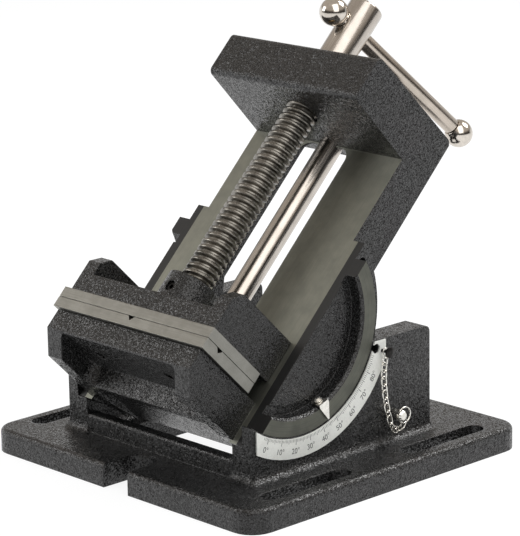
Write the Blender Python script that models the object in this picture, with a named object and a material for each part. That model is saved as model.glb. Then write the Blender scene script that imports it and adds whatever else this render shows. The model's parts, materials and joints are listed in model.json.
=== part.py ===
# Tilting drill press vise: a cradle base, a bed that tilts in it from 0 to 90 degrees,
# a fixed jaw cast on the bed, and a sliding jaw moved by a lead screw with a bar handle.
# Metres, +Z up. The origin is the centre of the whole vise's footprint, on the base's underside.
# X runs from the jaws to the handle, Y along the tilt axis, and the scale is on the -Y side.
# Shapes of the tilting parts are written in the bed's own axes: u along the bed towards the
# handle, y along the tilt axis and w square to the bed, all from the tilt axis.

import math

import bpy
import bmesh
from mathutils import Vector

mm = 0.001

# Fits and cutting
seat_gap = 0.3 * mm
plate_gap = 0.3 * mm
overrun = 2 * mm
round_steps = 6

# Directions, the same names in the base's axes and in the bed's
u_line = (1, 0, 0)
y_line = (0, 1, 0)
w_line = (0, 0, 1)

# Base plate
base_length = 217 * mm
base_width = 222 * mm
base_thickness = 14 * mm
base_corner_radius = 14 * mm
base_edge_round = 3 * mm
end_slot_width = 20.5 * mm
end_slot_depth = 28 * mm
side_slot_width = 12 * mm
side_slot_length = 66 * mm
side_slot_gap = 43 * mm
side_slot_inset = 14 * mm
window_clearance = 1.5 * mm
window_width = 100 * mm
window_corner_radius = 8 * mm
window_end_margin = 8.5 * mm
rim_thickness = 8.5 * mm
rim_height = 11 * mm
rim_round = 2 * mm

# Cradle walls
wall_back_x = -76 * mm
wall_front_x = 65.5 * mm
wall_top_drop = 18.6 * mm
wall_corner_radius = 4 * mm
wall_foot_radius = 5 * mm
wall_foot_ledge = 0.1 * mm
ledge_thickness = 8 * mm
outer_wall_thickness = 8 * mm
wall_side_clearance = 1.5 * mm
flange_side_clearance = 0.6 * mm

# Tilt axis and cradle bearing
pivot_x = -39 * mm
swing_clearance = 5.2 * mm
tilt_degrees = 45
ring_outer_radius = 60.3 * mm
ring_width = 10.6 * mm
ring_chamfer = 1.6 * mm
flange_beyond_ring = 10.2 * mm
web_step_inset = 5.3 * mm
web_step_height = 1.5 * mm
arc_steps = 40

# Bed
bed_half_width = 60 * mm
rail_drop = 17 * mm
rail_thickness = 12.3 * mm
bed_depth = 26.7 * mm
bed_side_thickness = 12 * mm
slot_half_width = 19.5 * mm
slot_low_u = -33 * mm
slot_high_u = 124.6 * mm
slot_corner_radius = 8 * mm
slot_wall_height = 3.3 * mm
slot_relief_spread = 10.5 * mm
slot_relief_run = 5 * mm
hollow_under_block = 7 * mm
block_front_u = 127.6 * mm
block_front_draft = 2.4 * mm
block_length = 28.8 * mm
block_height = 56 * mm
block_edge_round = 3.5 * mm

# Jaws
parting_u = -35.6 * mm
jaw_plate_thickness = 6.4 * mm
jaw_plate_height = 47.4 * mm
jaw_plate_top_w = 41.1 * mm
jaw_plate_overhang = 2.5 * mm
jaw_top_drop = 2.6 * mm
vee_depth = 2.6 * mm
vee_half_width = 2.6 * mm
vee_level_w = 29 * mm

# Fixed jaw
fixed_ledge_length = 12.5 * mm
fixed_back_chamfer = 12 * mm
fixed_back_taper = 5 * mm
fixed_cheek_thickness = 12 * mm
pocket_wall_set_back = 0.6 * mm
pocket_lip = 0.3 * mm
pocket_floor_w = 3 * mm
pocket_floor_fall = 3.6 * mm
pocket_low_round = 8 * mm
pocket_high_round = 3.5 * mm
shelf_thickness = 4.4 * mm
under_pocket_depth = 5.5 * mm
end_wall_thickness = 11 * mm

# Movable jaw
jaw_wall_thickness = 12.3 * mm
cheek_thickness = 9.6 * mm
cheek_length = 26.5 * mm
cheek_chamfer = 6.4 * mm
sole_thickness = 10 * mm
tongue_clearance = 0.3 * mm
tongue_length = 24 * mm
screw_boss_radius = 16 * mm
screw_boss_length = 32 * mm
screw_w = 13.4 * mm
keeper_thickness = 8 * mm
keeper_half_width = 40 * mm
keeper_length = 20 * mm

# Lead screw, nut and head
screw_radius = 10 * mm
thread_pitch = 4.2333 * mm
thread_depth = 2.1 * mm
thread_crest_share = 0.3
thread_flank_share = 0.14
thread_segments = 14
thread_start_clearance = 1.2 * mm
screw_foot_radius = 6 * mm
screw_foot_length = 22 * mm
foot_groove_radius = 4 * mm
foot_groove_width = 5 * mm
foot_groove_from_mouth = 10 * mm
nut_radius = 13 * mm
nut_shoulder = 8 * mm
head_radius = 10.5 * mm
head_length = 46.5 * mm
head_chamfer = 1.5 * mm
spigot_radius = 7 * mm
spigot_length = 17 * mm
head_pin_radius = 2 * mm
bar_from_head_end = 17 * mm
bar_radius = 5 * mm
bar_span = 117.7 * mm
bar_turn_degrees = -11.5
bar_spigot_radius = 3 * mm
bar_spigot_length = 6 * mm
ball_radius = 8.5 * mm
ball_flat = 2 * mm
bar_bore_clearance = 0.3 * mm

# Guide rod
rod_radius = 7 * mm
rod_drop = 3 * mm
rod_low_end_depth = 14 * mm
rod_high_end_depth = 22 * mm
rod_set_screw_radius = 3 * mm
rod_set_screw_inset = 10 * mm

# Screws
jaw_screw_radius = 3 * mm
jaw_screw_head_radius = 6 * mm
jaw_screw_head_depth = 3.6 * mm
jaw_screw_grip = 7 * mm
jaw_screw_spread = 28.5 * mm
jaw_screw_w = 19.5 * mm
keeper_screw_radius = 2.5 * mm
keeper_screw_head_radius = 5 * mm
keeper_screw_grip = 9 * mm
keeper_screw_spread = 13 * mm
socket_share = 0.5
socket_depth_share = 0.6
retainer_radius = 3 * mm
retainer_dog_radius = 2 * mm

# Angle scale and pointer
scale_thickness = 1 * mm
scale_ring_clearance = 1 * mm
scale_width = 11.4 * mm
scale_back_inset = 2.5 * mm
scale_front_inset = 5.7 * mm
scale_top_inset = 0.4 * mm
zero_mark_degrees = -114.35
pointer_thickness = 1 * mm
pointer_half_width = 3.6 * mm
pointer_tip_half_width = 0.4 * mm
pointer_tip_inset = 0.7 * mm
pointer_tab_length = 7.6 * mm
pointer_round_share = 0.9
pointer_screw_radius = 1.3 * mm
pointer_screw_head_radius = 2.7 * mm
pointer_screw_head_height = 1.6 * mm
pointer_screw_grip = 4 * mm

# Tilt lock pin, its chain and the tilt clamp
lock_pin_radius = 2.6 * mm
lock_hole_from_ring = 3.3 * mm
lock_hole_degrees = -21.4
lock_pin_length = 17 * mm
lock_pin_head_radius = 3.2 * mm
lock_pin_head_length = 7 * mm
lock_pin_taper = 1 * mm
pin_from_anchor = 10.2 * mm
pin_below_anchor = 39.8 * mm
split_ring_radius = 4.6 * mm
split_ring_wire_radius = 0.7 * mm
split_ring_offset = 3.35 * mm
split_ring_hang_degrees = -10
anchor_from_ring = 8.5 * mm
anchor_degrees = -21.5
anchor_radius = 0.9 * mm
anchor_head_radius = 3 * mm
anchor_head_height = 1.6 * mm
anchor_crown_share = 0.3
anchor_grip = 6 * mm
link_wire_radius = 0.55 * mm
link_half_length = 3.35 * mm
link_half_width = 2.3 * mm
link_headings = (-97, -99, -96, -92, -88, -84, -82, -80, -75, -73, -75, -62, -24, 16, 56)
link_slack = 0.4 * mm
chain_from_wall = 3.9 * mm
clamp_radius = 4 * mm
clamp_from_ring = 6.2 * mm
clamp_degrees = -73
clamp_head_radius = 7.5 * mm
clamp_head_height = 5.5 * mm
clamp_washer_radius = 8 * mm
clamp_washer_thickness = 1.6 * mm

# Places worked out from the sizes above
cos_tilt = math.cos(math.radians(tilt_degrees))
sin_tilt = math.sin(math.radians(tilt_degrees))
ledge_inner_y = bed_half_width + wall_side_clearance
ledge_outer_y = ledge_inner_y + ledge_thickness
wall_outer_y = ledge_outer_y + outer_wall_thickness
flange_face_y = ledge_outer_y - flange_side_clearance
rail_w = -rail_drop
rail_under_w = rail_w - rail_thickness
bed_under_w = rail_w - bed_depth
block_back_u = block_front_u + block_length
block_top_w = rail_w + block_height
jaw_top_w = jaw_plate_top_w - jaw_top_drop
jaw_plate_low_w = jaw_plate_top_w - jaw_plate_height
fixed_face_u = parting_u - jaw_plate_thickness
fixed_chamfer_u = fixed_face_u - fixed_ledge_length
fixed_back_u = fixed_chamfer_u - fixed_back_chamfer
fixed_shoulder_w = jaw_top_w - fixed_back_chamfer
bed_swing_radius = math.hypot(fixed_back_u + fixed_back_taper, bed_under_w)
wall_u = fixed_chamfer_u - pocket_wall_set_back
move_face_u = parting_u + seat_gap * 2 + plate_gap + jaw_plate_thickness
jaw_low_w = rail_w + seat_gap
jaw_back_u = move_face_u + cheek_length
rod_w = rail_w - rod_drop
tongue_low_w = rail_under_w - seat_gap
keeper_top_w = tongue_low_w - seat_gap
keeper_low_w = keeper_top_w - keeper_thickness
tongue_low_u = move_face_u + seat_gap
keeper_low_u = tongue_low_u + tongue_clearance
boss_end_u = move_face_u + screw_boss_length
thread_low_u = boss_end_u + thread_start_clearance
head_low_u = block_back_u + seat_gap
head_high_u = head_low_u + head_length
bar_u = head_high_u - bar_from_head_end
ball_flat_reach = ball_radius - ball_flat
upper_ball_reach = head_radius + ball_flat_reach + seat_gap
lower_ball_reach = bar_span - upper_ball_reach
lower_ball_w = screw_w - lower_ball_reach * math.cos(math.radians(bar_turn_degrees))

# The cradle, the scale and the holes through them follow the guide ring
ring_inner_radius = ring_outer_radius - ring_width
flange_radius = ring_outer_radius + flange_beyond_ring
web_step_radius = ring_inner_radius - web_step_inset
pointer_reach = ring_outer_radius - pointer_tip_inset
lock_hole_radius_on_cradle = ring_outer_radius + lock_hole_from_ring
clamp_radius_on_cradle = ring_outer_radius + clamp_from_ring
scale_inner_radius = ring_outer_radius + scale_ring_clearance
scale_outer_radius = scale_inner_radius + scale_width
scale_front_reach = scale_outer_radius - scale_front_inset
scale_back_reach = pivot_x - wall_back_x - scale_back_inset

# The tilt axis stands clear of the plate by the larger of the flange and the bed's swinging end
pivot_z = base_thickness + swing_clearance + max(flange_radius, bed_swing_radius)
wall_top_z = pivot_z - wall_top_drop
anchor_x = pivot_x + (ring_outer_radius + anchor_from_ring) * math.cos(math.radians(anchor_degrees))
anchor_z = pivot_z + (ring_outer_radius + anchor_from_ring) * math.sin(math.radians(anchor_degrees))
parked_pin_x = anchor_x + pin_from_anchor
parked_pin_z = anchor_z - pin_below_anchor

# The far end of the vise is the lower ball, so the footprint's centre lies past the base's
vise_back_x = -base_length / 2
vise_front_x = pivot_x + bar_u * cos_tilt - lower_ball_w * sin_tilt + ball_radius
base_centre_x = -(vise_back_x + vise_front_x) / 2


def clear_scene():
    for old in list(bpy.data.objects):
        bpy.data.objects.remove(old, do_unlink=True)


def finish(name, colour, roughness, metallic):
    """A plain Principled material."""
    surface = bpy.data.materials.new(name)
    surface.use_nodes = True
    shader = surface.node_tree.nodes["Principled BSDF"]
    shader.inputs["Base Color"].default_value = (*colour, 1)
    shader.inputs["Roughness"].default_value = roughness
    shader.inputs["Metallic"].default_value = metallic
    return surface


def axes(name, parent, place, turn=(0, 0, 0)):
    """An empty that carries a body and marks its joint."""
    empty = bpy.data.objects.new(name, None)
    bpy.context.scene.collection.objects.link(empty)
    empty.parent = parent
    empty.location = place
    empty.rotation_euler = turn
    return empty


def skin(rows, ring=True, loop=False):
    """A mesh over a grid of points: closed across each row, and capped or joined at its ends."""
    body = bmesh.new()
    grid = []
    for row in rows:
        first = row[0]
        if all((point - first).length < seat_gap / 1000 for point in row):
            grid.append([body.verts.new(first)] * len(row))
        else:
            grid.append([body.verts.new(point) for point in row])
    across = len(grid[0])
    pairs = list(zip(grid, grid[1:]))
    if loop:
        pairs.append((grid[-1], grid[0]))
    for low, high in pairs:
        for i in range(across if ring else across - 1):
            j = (i + 1) % across
            corners = []
            for corner in (low[i], low[j], high[j], high[i]):
                if corner not in corners:
                    corners.append(corner)
            body.faces.new(corners)
    if not loop:
        for end in (grid[0], grid[-1]):
            if end[0] is not end[1]:
                body.faces.new(end)
    bmesh.ops.recalc_face_normals(body, faces=body.faces)
    mesh = bpy.data.meshes.new("shape")
    body.to_mesh(mesh)
    body.free()
    return mesh


def piece(name, mesh, parent, surface=None, smooth_degrees=35):
    """An object with its own material, smooth where it is round."""
    solid = bpy.data.objects.new(name, mesh)
    bpy.context.scene.collection.objects.link(solid)
    solid.parent = parent
    mesh.shade_smooth()
    mesh.set_sharp_from_angle(angle=math.radians(smooth_degrees))
    if surface:
        mesh.materials.append(surface)
    return solid


def arc(x, z, radius, start, end, steps=round_steps):
    """Points along a round stretch, angles in degrees from +x towards +z."""
    turns = [math.radians(start + (end - start) * i / steps) for i in range(steps + 1)]
    return [(x + radius * math.cos(a), z + radius * math.sin(a)) for a in turns]


def rounded_box(low_x, high_x, low_z, high_z, radius):
    """The outline of a rectangle with round corners."""
    return (
        arc(high_x - radius, high_z - radius, radius, 0, 90)
        + arc(low_x + radius, high_z - radius, radius, 90, 180)
        + arc(low_x + radius, low_z + radius, radius, 180, 270)
        + arc(high_x - radius, low_z + radius, radius, 270, 360)
    )


def along_y(outline, low, high):
    """An outline in x and z, drawn out along y."""
    return skin([[Vector((x, y, z)) for x, z in outline] for y in (low, high)])


def along_z(outline, low, high):
    """An outline in x and y, drawn out along z."""
    return skin([[Vector((x, y, z)) for x, y in outline] for z in (low, high)])


def along_x(outline, low, high):
    """An outline in y and z, drawn out along x."""
    return skin([[Vector((x, y, z)) for y, z in outline] for x in (low, high)])


def box(low, high):
    """A plain block between two corners."""
    outline = [(low[0], low[2]), (high[0], low[2]), (high[0], high[2]), (low[0], high[2])]
    return along_y(outline, low[1], high[1])


def turned(profile, axis, centre, steps=24):
    """A profile of radius and place, turned about a line through the centre along the axis."""
    direction = Vector(axis).normalized()
    side = direction.orthogonal().normalized()
    other = direction.cross(side)
    rows = []
    for radius, place in profile:
        row = []
        for i in range(steps):
            a = 2 * math.pi * i / steps
            out = side * math.cos(a) + other * math.sin(a)
            row.append(Vector(centre) + direction * place + out * radius)
        rows.append(row)
    return skin(rows)


def rod(radius, axis, centre, low, high, steps=24):
    """A plain round bar."""
    return turned([(radius, low), (radius, high)], axis, centre, steps)


def tool(target, mesh, operation):
    """Joins a hidden shape to a piece with a Boolean."""
    shape = bpy.data.objects.new(target.name + "_" + operation.lower(), mesh)
    bpy.context.scene.collection.objects.link(shape)
    shape.parent = target.parent
    shape.hide_render = True
    shape.display_type = "WIRE"
    step = target.modifiers.new(shape.name, "BOOLEAN")
    step.operation = operation
    step.solver = "EXACT"
    step.object = shape


def cut(target, *meshes):
    for mesh in meshes:
        tool(target, mesh, "DIFFERENCE")


def add(target, *meshes):
    for mesh in meshes:
        tool(target, mesh, "UNION")


def on_cradle(radius, degrees):
    """X and Z, from the base's centre, of a point on a circle about the tilt axis."""
    a = math.radians(degrees)
    return pivot_x + radius * math.cos(a), pivot_z + radius * math.sin(a)


def stadium(low, high, middle, half_width):
    """The outline of a slot along x with two round ends."""
    steps = round_steps * 2
    return arc(high - half_width, middle, half_width, -90, 90, steps) + arc(
        low + half_width, middle, half_width, 90, 270, steps
    )


def cradle_profile(radius):
    """A wall's side view, its top hollowed by an arc about the tilt axis."""
    back = math.degrees(math.acos((wall_back_x - pivot_x) / radius))
    front = math.degrees(math.asin((wall_top_z - pivot_z) / radius))
    steps = arc_steps // 2
    corner = arc(wall_front_x - wall_corner_radius, wall_top_z - wall_corner_radius, wall_corner_radius, 90, 0)
    foot = base_thickness / 2
    hollow = arc(pivot_x, pivot_z, radius, -back, front, steps)
    return [(wall_back_x, foot)] + hollow + corner + [(wall_front_x, foot)]


def wall_foot(side):
    """The hollow fillet round a wall's foot, in level outlines that draw in as they rise."""
    rows = []
    for i in range(round_steps + 1):
        a = math.pi / 2 * i / round_steps
        spread = wall_foot_radius * (1 - math.sin(a)) + wall_foot_ledge
        z = base_thickness + wall_foot_radius * (1 - math.cos(a))
        low_y = min(side * ledge_inner_y, side * wall_outer_y) - spread
        high_y = max(side * ledge_inner_y, side * wall_outer_y) + spread
        outline = rounded_box(wall_back_x - spread, wall_front_x + spread, low_y, high_y, spread)
        rows.append([Vector((x, y, z)) for x, y in outline])
    bottom = [Vector((p.x, p.y, base_thickness / 2)) for p in rows[0]]
    return skin([bottom] + rows)


def base_plate():
    """The plate, with its upper edge rounded over."""
    rows = []
    levels = [(0, 0)]
    for i in range(round_steps + 1):
        a = math.pi / 2 * i / round_steps
        rise = base_thickness - base_edge_round + base_edge_round * math.sin(a)
        levels.append((base_edge_round * (1 - math.cos(a)), rise))
    for inset, z in levels:
        half_x = base_length / 2 - inset
        half_y = base_width / 2 - inset
        outline = rounded_box(-half_x, half_x, -half_y, half_y, base_corner_radius - inset)
        rows.append([Vector((x, y, z)) for x, y in outline])
    return skin(rows)


def make_base(root, paint):
    """The cast base: plate, two cradle walls, a cross rim, slots, the window and the bored holes."""
    base = piece("base_casting", base_plate(), root, paint)
    outer = cradle_profile(ring_outer_radius + seat_gap)
    ledge = cradle_profile(flange_radius + seat_gap)
    for side in (-1, 1):
        inside = sorted((side * ledge_outer_y, side * wall_outer_y))
        lower = sorted((side * ledge_inner_y, side * (ledge_outer_y + overrun)))
        add(base, along_y(outer, *inside), along_y(ledge, *lower), wall_foot(side))
    rim_top = base_thickness + rim_height
    rim = rounded_box(wall_back_x, wall_back_x + rim_thickness, base_thickness / 2, rim_top, rim_round)
    reach = ledge_inner_y + overrun
    add(base, along_y(rim, -reach, reach))

    below, above = -overrun, base_thickness + overrun
    window_back = wall_back_x + rim_thickness + window_clearance
    window_front = wall_front_x - window_end_margin
    half = window_width / 2
    window = rounded_box(window_back, window_front, -half, half, window_corner_radius)
    cut(base, along_z(window, below, rim_top + overrun))
    tip = base_length / 2 - end_slot_depth
    for side in (-1, 1):
        ends = sorted((side * tip, side * (base_length / 2 + end_slot_width)))
        cut(base, along_z(stadium(*ends, 0, end_slot_width / 2), below, above))
    slot_y = base_width / 2 - side_slot_inset
    near, far = side_slot_gap / 2, side_slot_gap / 2 + side_slot_length
    for side in (-1, 1):
        for low, high in ((-far, -near), (near, far)):
            cut(base, along_z(stadium(low, high, side * slot_y, side_slot_width / 2), below, above))

    lock_x, lock_z = on_cradle(lock_hole_radius_on_cradle, lock_hole_degrees)
    through = wall_outer_y + overrun
    hole = lock_pin_radius + seat_gap
    cut(base, rod(hole, y_line, (lock_x, 0, lock_z), -through, -ledge_inner_y))
    cut(base, rod(hole, y_line, (parked_pin_x, 0, parked_pin_z), -through, -ledge_inner_y + overrun))
    depth = wall_outer_y - anchor_grip - seat_gap
    cut(base, rod(anchor_radius + seat_gap, y_line, (anchor_x, 0, anchor_z), -through, -depth, 12))
    clamp_x, clamp_z = on_cradle(clamp_radius_on_cradle, clamp_degrees)
    cut(base, rod(clamp_radius + seat_gap, y_line, (clamp_x, 0, clamp_z), flange_face_y - overrun, through))
    return base


def make_scale(root, steel):
    """The angle scale: a thin arc of plate, cut square at its back end and level at its top."""
    back = -scale_back_reach
    front = scale_front_reach
    top = wall_top_z - scale_top_inset - pivot_z
    inner, outer = scale_inner_radius, scale_outer_radius
    inner_back = -math.degrees(math.acos(back / inner))
    outer_back = -math.degrees(math.acos(back / outer))
    outer_front = -math.degrees(math.acos(front / outer))
    inner_front = math.degrees(math.asin(top / inner))
    steps = arc_steps // 2
    outline = arc(pivot_x, pivot_z, outer, outer_back, outer_front, steps)
    outline.append((pivot_x + front, pivot_z + top))
    outline += arc(pivot_x, pivot_z, inner, inner_front, inner_back, steps)
    face = wall_outer_y + seat_gap
    plate = piece("angle_scale", along_y(outline, -face - scale_thickness, -face), root, steel)
    lock_x, lock_z = on_cradle(lock_hole_radius_on_cradle, lock_hole_degrees)
    hole = lock_pin_radius + seat_gap
    reach = face + scale_thickness + overrun
    cut(plate, rod(hole, y_line, (lock_x, 0, lock_z), -reach, -face + overrun, 20))
    hole = anchor_radius + seat_gap
    cut(plate, rod(hole, y_line, (anchor_x, 0, anchor_z), -reach, -face + overrun, 12))
    return plate


def make_chain_anchor(root, steel):
    """The pan-head screw whose neck holds the chain's first link."""
    head_low = wall_outer_y + chain_from_wall + link_half_width + seat_gap
    crown = head_low + anchor_head_height
    edge = crown - anchor_head_height * anchor_crown_share
    profile = [
        (anchor_radius, -wall_outer_y + anchor_grip),
        (anchor_radius, -head_low),
        (anchor_head_radius, -head_low),
        (anchor_head_radius, -edge),
        (anchor_head_radius * socket_share, -crown),
    ]
    return piece("chain_anchor_screw", turned(profile, y_line, (anchor_x, 0, anchor_z), 16), root, steel)


def link_mesh(centre, along, flat):
    """An oval wire link: a stadium path, its long way set by along and its plane by flat."""
    across = flat.cross(along).normalized()
    bend = link_half_width - link_wire_radius
    straight = link_half_length - link_half_width
    rows = []
    for end in (0, 1):
        for i in range(round_steps + 1):
            a = math.pi * (i / round_steps + end)
            out = along * math.sin(a) + across * math.cos(a)
            shift = straight if end == 0 else -straight
            middle = centre + along * shift + out * bend
            row = []
            for j in range(round_steps):
                b = 2 * math.pi * j / round_steps
                row.append(middle + (out * math.cos(b) + flat * math.sin(b)) * link_wire_radius)
            rows.append(row)
    return skin(rows, loop=True)


def make_chain(root, steel):
    """The retaining chain: each link hangs at its own heading, a quarter turn from the last."""
    pitch = (link_half_length - link_wire_radius * 2) * 2 - link_slack
    outwards = Vector(y_line)
    end = None
    for number, degrees in enumerate(link_headings, 1):
        heading = math.radians(degrees)
        along = Vector((math.cos(heading), 0, math.sin(heading)))
        if end is None:
            straight = link_half_length - link_half_width
            start = Vector((anchor_x, -wall_outer_y - chain_from_wall, anchor_z))
            end = start + along * (straight - pitch / 2)
        centre = end + along * pitch / 2
        flat = outwards if number % 2 else outwards.cross(along)
        piece(f"chain_link_{number:02d}", link_mesh(centre, along, flat), root, steel)
        end += along * pitch


def make_lock_pin(axis, steel, bright):
    """The tilt lock pin, parked in its hole in the wall, and the split ring through its head."""
    soft = lock_pin_taper
    shank = lock_pin_length + seat_gap + scale_thickness
    profile = [
        (lock_pin_head_radius - soft, -lock_pin_head_length),
        (lock_pin_head_radius, soft - lock_pin_head_length),
        (lock_pin_head_radius, 0),
        (lock_pin_radius, soft),
        (lock_pin_radius, shank - soft),
        (lock_pin_radius - soft, shank),
    ]
    pin = piece("lock_pin", turned(profile, y_line, (0, 0, 0), 20), axis, steel)

    # The ring bends through the head, so its hole takes in both the deepest and the outermost wire
    hang = math.radians(split_ring_hang_degrees)
    out = Vector((math.cos(hang), 0, math.sin(hang)))
    through = Vector((-math.sin(hang), 0, math.cos(hang)))
    deep = Vector(y_line)
    plane = scale_thickness + seat_gap - chain_from_wall - link_wire_radius - seat_gap - split_ring_wire_radius
    inmost = split_ring_offset - split_ring_radius
    outmost = split_ring_offset - math.sqrt(split_ring_radius**2 - lock_pin_head_radius**2)
    bore = (outmost - inmost) / 2 + split_ring_wire_radius + seat_gap
    middle = out * (inmost + outmost) / 2 + deep * plane
    reach = lock_pin_head_radius + overrun
    cut(pin, rod(bore, through, middle, -reach, reach, 16))
    rows = []
    steps = arc_steps // 2
    for i in range(steps):
        a = 2 * math.pi * i / steps
        spoke = out * math.cos(a) + through * math.sin(a)
        wire = out * split_ring_offset + deep * plane + spoke * split_ring_radius
        row = []
        for j in range(round_steps):
            b = 2 * math.pi * j / round_steps
            row.append(wire + (spoke * math.cos(b) + deep * math.sin(b)) * split_ring_wire_radius)
        rows.append(row)
    piece("pin_split_ring", skin(rows, loop=True), axis, bright)


def make_tilt_clamp(root, axis, steel):
    """The hexagon-head screw in the far wall that presses on the flange, and its washer."""
    face = wall_outer_y + seat_gap
    x, z = on_cradle(clamp_radius_on_cradle, clamp_degrees)
    washer_high = face + clamp_washer_thickness
    washer = rod(clamp_washer_radius, y_line, (x, 0, z), face, washer_high, 24)
    ring = piece("tilt_clamp_washer", washer, root, steel)
    cut(ring, rod(clamp_radius + seat_gap, y_line, (x, 0, z), face - overrun, washer_high + overrun))
    low = flange_face_y + seat_gap
    head_low = washer_high + seat_gap
    shank = rod(clamp_radius, y_line, (0, 0, 0), low - wall_outer_y, head_low + overrun - wall_outer_y, 16)
    screw = piece("tilt_clamp_screw", shank, axis, steel)
    head_from = head_low - wall_outer_y
    add(screw, rod(clamp_head_radius, y_line, (0, 0, 0), head_from, head_from + clamp_head_height, 6))


def fixed_jaw_profile():
    """The fixed jaw from the side, in u and w, down to the bed's underside."""
    return [
        (fixed_face_u, jaw_top_w),
        (fixed_chamfer_u, jaw_top_w),
        (fixed_back_u, fixed_shoulder_w),
        (fixed_back_u, rail_w),
        (fixed_back_u + fixed_back_taper, bed_under_w),
        (slot_low_u, bed_under_w),
        (slot_low_u, rail_w),
        (fixed_face_u, rail_w),
    ]


def block_profile():
    """The end block from the side, its front face drawn in towards its foot."""
    foot_u = block_front_u - block_front_draft
    edge = block_edge_round
    return (
        arc(block_back_u - edge, block_top_w - edge, edge, 0, 90)
        + arc(block_front_u + edge, block_top_w - edge, edge, 90, 180)
        + [(foot_u, rail_w), (foot_u, bed_under_w)]
        + arc(block_back_u - edge, bed_under_w + edge, edge, 270, 360)
    )


def fixed_pocket(reach):
    """The pocket in the fixed jaw's back: its floor falls to the back and its corners are round."""
    rows = []
    fall_rate = pocket_floor_fall / (wall_u - fixed_back_u)
    high = jaw_top_w - pocket_lip
    for u in (fixed_back_u - reach, wall_u):
        low = pocket_floor_w - fall_rate * (wall_u - u)
        half = bed_half_width - fixed_cheek_thickness
        outline = (
            arc(half - pocket_high_round, high - pocket_high_round, pocket_high_round, 0, 90)
            + arc(pocket_high_round - half, high - pocket_high_round, pocket_high_round, 90, 180)
            + arc(pocket_low_round - half, low + pocket_low_round, pocket_low_round, 180, 270)
            + arc(half - pocket_low_round, low + pocket_low_round, pocket_low_round, 270, 360)
        )
        rows.append([Vector((u, y, w)) for y, w in outline])
    return skin(rows)


def slot_cutters(under):
    """The slot between the rails, and the relief that leaves its walls thin and slopes away below."""
    edge = slot_corner_radius
    half = slot_half_width
    slot = [(slot_low_u, -half)] + arc(slot_high_u - edge, edge - half, edge, -90, 0)
    slot += arc(slot_high_u - edge, half - edge, edge, 0, 90) + [(slot_low_u, half)]
    rise = rail_thickness - slot_wall_height
    inner = half - overrun
    inner_w = rail_under_w + rise + overrun * rise / slot_relief_spread
    outer = half + slot_relief_spread
    low = rail_under_w - overrun
    relief = [(-outer, low), (-outer, rail_under_w), (-inner, inner_w)]
    relief += [(inner, inner_w), (outer, rail_under_w), (outer, low)]
    return along_z(slot, under, rail_w + overrun), along_x(relief, slot_low_u, slot_high_u + slot_relief_run)


def flange(side):
    """The half-round flange on one side of the bed, below the level of the rails."""
    half = math.degrees(math.asin(rail_drop / flange_radius))
    outline = arc(0, 0, flange_radius, -180 + half, -half, arc_steps)
    low, high = sorted((side * (bed_half_width - overrun), side * flange_face_y))
    return along_y(outline, low, high)


def guide_ring(side):
    """The machined ring that turns in the cradle, its ends level with the rails."""
    rows = []
    face = side * wall_outer_y
    root = side * (flange_face_y - overrun)
    corners = (
        (ring_outer_radius, root),
        (ring_outer_radius, face),
        (ring_inner_radius + ring_chamfer, face),
        (ring_inner_radius, face - side * ring_chamfer),
        (ring_inner_radius, root),
    )
    for i in range(arc_steps + 1):
        share = i / arc_steps
        row = []
        for radius, y in corners:
            drop = math.asin(rail_drop / radius)
            a = -math.pi + drop + (math.pi - drop * 2) * share
            row.append(Vector((radius * math.cos(a), y, radius * math.sin(a))))
        rows.append(row)
    return skin(rows)


def web_step(side):
    """The raised middle of the flange, inside the ring."""
    half = math.degrees(math.asin(rail_drop / web_step_radius))
    outline = arc(0, 0, web_step_radius, -180 + half, -half, arc_steps)
    low, high = sorted((side * (flange_face_y - overrun), side * (flange_face_y + web_step_height)))
    return along_y(outline, low, high)


def bed_box(low_u, high_u, half_y, low_w, high_w):
    """A block across the bed, the same on both sides of its middle."""
    return box((low_u, -half_y, low_w), (high_u, half_y, high_w))


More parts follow.
